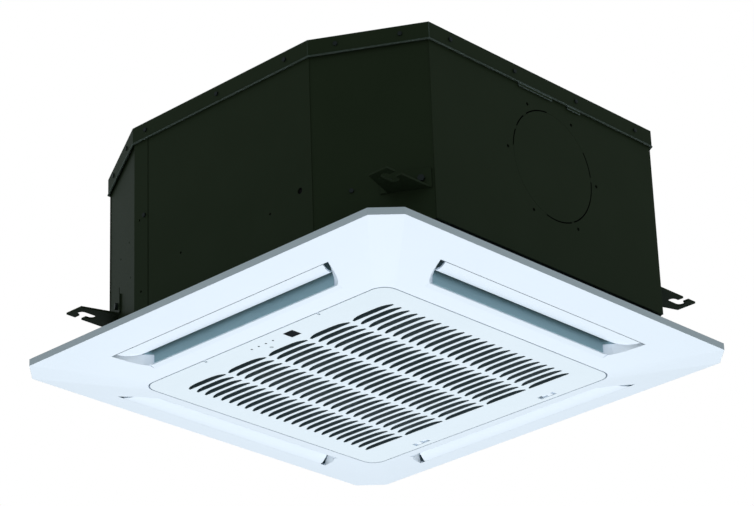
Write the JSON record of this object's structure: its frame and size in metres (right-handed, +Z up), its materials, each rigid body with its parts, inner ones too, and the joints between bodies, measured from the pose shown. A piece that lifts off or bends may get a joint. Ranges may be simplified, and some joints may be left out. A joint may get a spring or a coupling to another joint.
{
  "type": "ceiling cassette air conditioner",
  "caption": "Four-way ceiling cassette indoor unit: square white panel with slotted intake grille and curved louvers under a black octagonal body with hanger hooks.",
  "frame": {"origin": "centre of the ceiling plane, where the back of the panel's rim rests against the ceiling", "axes": "+Z up through the ceiling opening; -X is the side with the display and the grille's hinge; -Y is the side with the round fresh-air knock-out; the pipes leave at the (+X, +Y) corner"},
  "size_m": [0.647, 0.647, 0.315],
  "materials": {
    "panel_white": "satin",
    "inner_white": "matte",
    "duct_grey": "matte",
    "black_sheet": "satin",
    "screw_black": "satin",
    "foam_black": "matte",
    "foam_white": "matte",
    "filter_black": "matte",
    "window_dark": "gloss",
    "lamp_clear": "gloss",
    "button_grey": "matte",
    "zinc": "satin",
    "pin_steel": "polished",
    "motor_steel": "satin",
    "copper": "satin",
    "nut_brass": "satin",
    "fin_aluminium": "satin",
    "fan_plastic": "matte",
    "mount_rubber": "matte",
    "pump_plastic": "matte",
    "hose_grey": "matte",
    "float_white": "matte",
    "board_green": "satin",
    "terminal_black": "matte"
  },
  "bodies": {
    "housing": {"panel_frame": "panel_white", "air_guides": "duct_grey", "louver_motors": "motor_steel", "panel_gasket": "foam_black", "panel_bolts": "zinc", "hinge_pins": "pin_steel", "top_cover": "black_sheet", "wall_front": "black_sheet", "wall_rear": "black_sheet", "wall_left": "black_sheet", "wall_right": "black_sheet", "corner_sheets": "black_sheet", "knockout_disc": "black_sheet", "hanger_brackets": "black_sheet", "bracket_bolts": "screw_black", "cover_screws": "screw_black", "pipe_plate": "black_sheet", "gas_pipe": "copper", "liquid_pipe": "copper", "flare_nuts": "nut_brass", "coil_headers": "copper", "wall_insulation": "foam_black", "top_insulation": "foam_black", "drain_pan": "foam_white", "bell_mouth": "inner_white", "coil_fins": "fin_aluminium", "coil_tube_sheets": "zinc", "coil_return_bends": "copper", "fan_motor": "motor_steel", "motor_plate": "zinc", "motor_mounts": "mount_rubber", "drain_pump": "pump_plastic", "drain_hose": "hose_grey", "drain_outlet": "pump_plastic", "float_switch": "pump_plastic", "control_box": "zinc", "control_lid": "zinc", "main_board": "board_green", "terminal_block": "terminal_black", "capacitor": "terminal_black", "transformer": "motor_steel", "room_sensor": "terminal_black", "coil_sensor": "copper"},
    "fan": {"fan_impeller": "fan_plastic", "motor_shaft": "pin_steel", "fan_nut": "zinc"},
    "grille": {"intake_grille": "panel_white", "filter_frame": "filter_black", "filter_net": "filter_black", "display_box": "inner_white", "receiver_window": "window_dark", "indicator_lamps": "lamp_clear"},
    "louver_front_body": {"louver_front": "panel_white"},
    "louver_left_body": {"louver_left": "panel_white"},
    "louver_rear_body": {"louver_rear": "panel_white"},
    "louver_right_body": {"louver_right": "panel_white"},
    "latch_left": {"grille_latch_left": "panel_white"},
    "latch_right": {"grille_latch_right": "panel_white"},
    "button": {"manual_button": "button_grey"},
    "float": {"float_ring": "float_white"}
  },
  "joints": [
    {"name": "fan_spin", "type": "hinge", "parent": "housing", "child": "fan", "pos_m": [0, 0, 0.19], "axis": [0, 0, 1], "continuous": true},
    {"name": "louver_front_swing", "type": "hinge", "parent": "housing", "child": "louver_front_body", "pos_m": [0, -0.27, -0.009], "axis": [1, 0, 0], "range_deg": [-28, 30]},
    {"name": "louver_left_swing", "type": "hinge", "parent": "housing", "child": "louver_left_body", "pos_m": [-0.27, 0, -0.009], "axis": [0, -1, 0], "range_deg": [-28, 30]},
    {"name": "louver_rear_swing", "type": "hinge", "parent": "housing", "child": "louver_rear_body", "pos_m": [0, 0.27, -0.009], "axis": [-1, 0, 0], "range_deg": [-28, 30]},
    {"name": "louver_right_swing", "type": "hinge", "parent": "housing", "child": "louver_right_body", "pos_m": [0.27, 0, -0.009], "axis": [0, 1, 0], "range_deg": [-28, 30]},
    {"name": "grille_hinge", "type": "hinge", "parent": "housing", "child": "grille", "pos_m": [-0.206, 0, -0.029], "axis": [0, 1, 0], "range_deg": [0, 45]},
    {"name": "latch_left_slide", "type": "slide", "parent": "grille", "child": "latch_left", "axis": [0, 1, 0], "range_m": [0, 0.008]},
    {"name": "latch_right_slide", "type": "slide", "parent": "grille", "child": "latch_right", "axis": [0, -1, 0], "range_m": [0, 0.008]},
    {"name": "button_press", "type": "slide", "parent": "grille", "child": "button", "axis": [0, 0, 1], "range_m": [0, 0.002], "stiffness_N_per_m": 300, "springref_m": -0.001},
    {"name": "float_rise", "type": "slide", "parent": "housing", "child": "float", "axis": [0, 0, 1], "range_m": [0, 0.018]}
  ],
  "couplings": [
    {"joint": "louver_left_swing", "follows": "louver_front_swing", "ratio": 1},
    {"joint": "louver_rear_swing", "follows": "louver_front_swing", "ratio": 1},
    {"joint": "louver_right_swing", "follows": "louver_front_swing", "ratio": 1}
  ]
}
